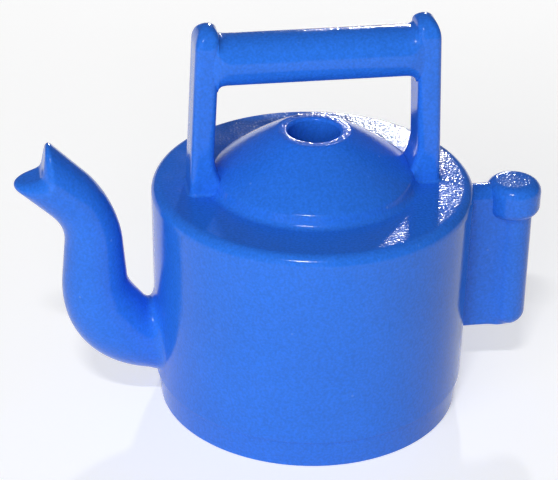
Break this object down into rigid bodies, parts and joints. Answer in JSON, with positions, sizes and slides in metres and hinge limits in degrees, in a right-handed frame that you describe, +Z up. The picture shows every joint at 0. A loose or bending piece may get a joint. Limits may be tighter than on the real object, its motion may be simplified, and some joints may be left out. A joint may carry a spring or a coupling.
{
  "type": "toy teapot",
  "caption": "Small moulded play kettle with a gooseneck spout, a domed lid with a hole, a fixed bar handle over the lid and a stub grip on its side.",
  "frame": {"origin": "middle of the foot's flat underside, on the table", "axes": "+Z up along the body's axis, +X towards the side grip, the spout points to -X"},
  "size_m": [0.0432, 0.026, 0.0335],
  "materials": {
    "blue_plastic": "glossy moulded plastic with a fine uneven skin"
  },
  "bodies": {
    "root": {"body_shell": "blue_plastic", "base_cap": "blue_plastic", "lid_dome": "blue_plastic", "spout": "blue_plastic", "handle_post_spout_side": "blue_plastic", "handle_post_grip_side": "blue_plastic", "grip_bar": "blue_plastic", "side_grip": "blue_plastic", "side_grip_cap": "blue_plastic"}
  },
  "joints": []
}
